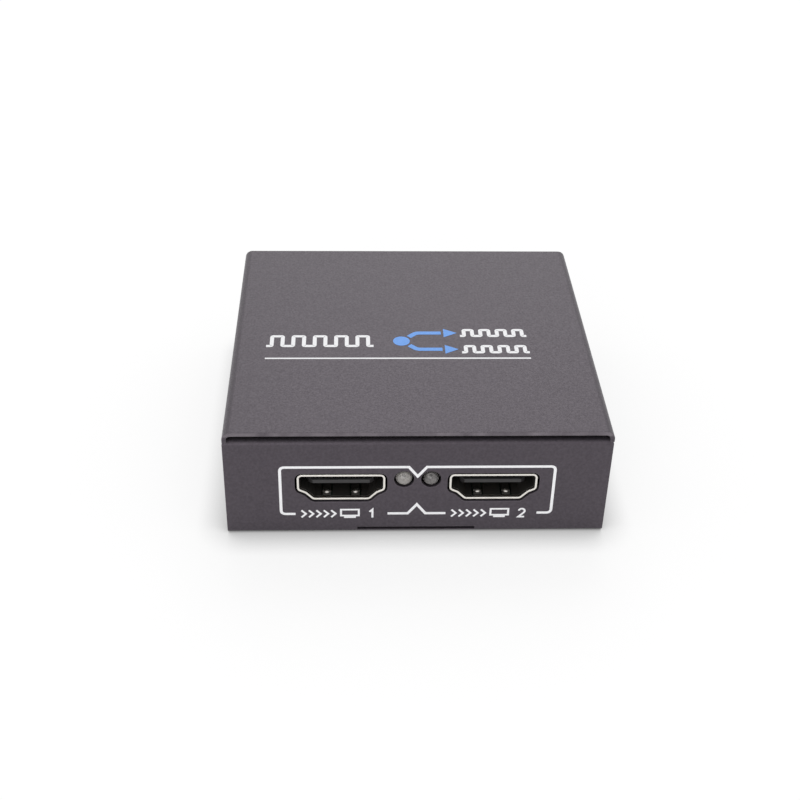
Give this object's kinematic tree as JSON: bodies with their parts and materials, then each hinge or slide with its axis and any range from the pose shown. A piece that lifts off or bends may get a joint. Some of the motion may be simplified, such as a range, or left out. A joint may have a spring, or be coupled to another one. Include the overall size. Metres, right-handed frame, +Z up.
{
  "type": "hdmi splitter",
  "caption": "Low sheet-steel splitter box with HDMI output sockets and indicator lights on its front, an HDMI input socket and a power jack on its rear.",
  "frame": {"origin": "centre of the outline, on the underside", "axes": "+X to the right seen from the front, +Y to the rear, +Z up; the outputs face -Y"},
  "size_m": [0.0668, 0.061, 0.0215],
  "materials": {
    "coated_steel": "satin powder coat",
    "black_zinc": "black zinc",
    "bright_zinc": "bright zinc",
    "nickel_plate": "bright nickel plate",
    "gold_plate": "flash gold",
    "tinned_brass": "bright tin",
    "tinned_steel": "bright tin",
    "black_plastic": "moulded, fine texture",
    "chip_resin": "moulded resin",
    "chip_ceramic": "sintered",
    "clear_resin": "clear, slightly diffused",
    "board_laminate": "solder mask",
    "can_aluminium": "drawn can",
    "ferrite": "sintered"
  },
  "bodies": {
    "case": {"top_cover": "coated_steel", "bottom_tray": "coated_steel", "board_posts": "bright_zinc", "board_screws": "bright_zinc", "circuit_board": "board_laminate", "power_jack_housing": "black_plastic", "power_jack_pin": "tinned_brass", "power_jack_sleeve_terminal": "tinned_brass", "power_jack_switch_contact": "tinned_brass", "light_1_lens": "clear_resin", "light_1_leads": "tinned_steel", "light_2_lens": "clear_resin", "light_2_leads": "tinned_steel", "splitter_chip": "chip_resin", "memory_chips": "chip_resin", "voltage_regulator": "chip_resin", "clock_crystal": "bright_zinc", "bulk_capacitor": "can_aluminium", "power_inductor": "ferrite", "chip_capacitors": "chip_ceramic", "chip_resistors": "chip_resin", "output_1_shell": "nickel_plate", "output_1_insulator": "black_plastic", "output_1_contacts": "gold_plate", "output_2_shell": "nickel_plate", "output_2_insulator": "black_plastic", "output_2_contacts": "gold_plate", "input_shell": "nickel_plate", "input_insulator": "black_plastic", "input_contacts": "gold_plate"},
    "case_screw_left_front": {"case_screw_left_front": "black_zinc"},
    "case_screw_left_rear": {"case_screw_left_rear": "black_zinc"},
    "case_screw_right_front": {"case_screw_right_front": "black_zinc"},
    "case_screw_right_rear": {"case_screw_right_rear": "black_zinc"},
    "output_1_upper_springs": {"output_1_upper_springs": "nickel_plate"},
    "output_1_lower_springs": {"output_1_lower_springs": "nickel_plate"},
    "output_2_upper_springs": {"output_2_upper_springs": "nickel_plate"},
    "output_2_lower_springs": {"output_2_lower_springs": "nickel_plate"},
    "input_upper_springs": {"input_upper_springs": "nickel_plate"},
    "input_lower_springs": {"input_lower_springs": "nickel_plate"},
    "power_jack_sleeve_spring": {"power_jack_sleeve_spring": "tinned_brass"}
  },
  "joints": [
    {"name": "case_screw_left_front_draw", "type": "slide", "parent": "case", "child": "case_screw_left_front", "axis": [-1, 0, 0], "range_m": [0, 0.007]},
    {"name": "case_screw_left_rear_draw", "type": "slide", "parent": "case", "child": "case_screw_left_rear", "axis": [-1, 0, 0], "range_m": [0, 0.007]},
    {"name": "case_screw_right_front_draw", "type": "slide", "parent": "case", "child": "case_screw_right_front", "axis": [1, 0, 0], "range_m": [0, 0.007]},
    {"name": "case_screw_right_rear_draw", "type": "slide", "parent": "case", "child": "case_screw_right_rear", "axis": [1, 0, 0], "range_m": [0, 0.007]},
    {"name": "output_1_lower_springs_flex", "type": "hinge", "parent": "case", "child": "output_1_lower_springs", "pos_m": [-0.0127, -0.0241, 0.00728], "axis": [1, 0, 0], "range_deg": [0, 5], "stiffness_Nm_per_rad": 0.05},
    {"name": "output_1_upper_springs_flex", "type": "hinge", "parent": "case", "child": "output_1_upper_springs", "pos_m": [-0.0127, -0.0241, 0.01218], "axis": [-1, 0, 0], "range_deg": [0, 5], "stiffness_Nm_per_rad": 0.05},
    {"name": "output_2_lower_springs_flex", "type": "hinge", "parent": "case", "child": "output_2_lower_springs", "pos_m": [0.0127, -0.0241, 0.00728], "axis": [1, 0, 0], "range_deg": [0, 5], "stiffness_Nm_per_rad": 0.05},
    {"name": "output_2_upper_springs_flex", "type": "hinge", "parent": "case", "child": "output_2_upper_springs", "pos_m": [0.0127, -0.0241, 0.01218], "axis": [-1, 0, 0], "range_deg": [0, 5], "stiffness_Nm_per_rad": 0.05},
    {"name": "input_lower_springs_flex", "type": "hinge", "parent": "case", "child": "input_lower_springs", "pos_m": [-0.009, 0.0241, 0.00728], "axis": [-1, 0, 0], "range_deg": [0, 5], "stiffness_Nm_per_rad": 0.05},
    {"name": "input_upper_springs_flex", "type": "hinge", "parent": "case", "child": "input_upper_springs", "pos_m": [-0.009, 0.0241, 0.01218], "axis": [1, 0, 0], "range_deg": [0, 5], "stiffness_Nm_per_rad": 0.05},
    {"name": "power_jack_sleeve_spring_flex", "type": "hinge", "parent": "case", "child": "power_jack_sleeve_spring", "pos_m": [0.017, 0.0209, 0.0095], "axis": [-1, 0, 0], "range_deg": [0, 6], "stiffness_Nm_per_rad": 0.05}
  ]
}
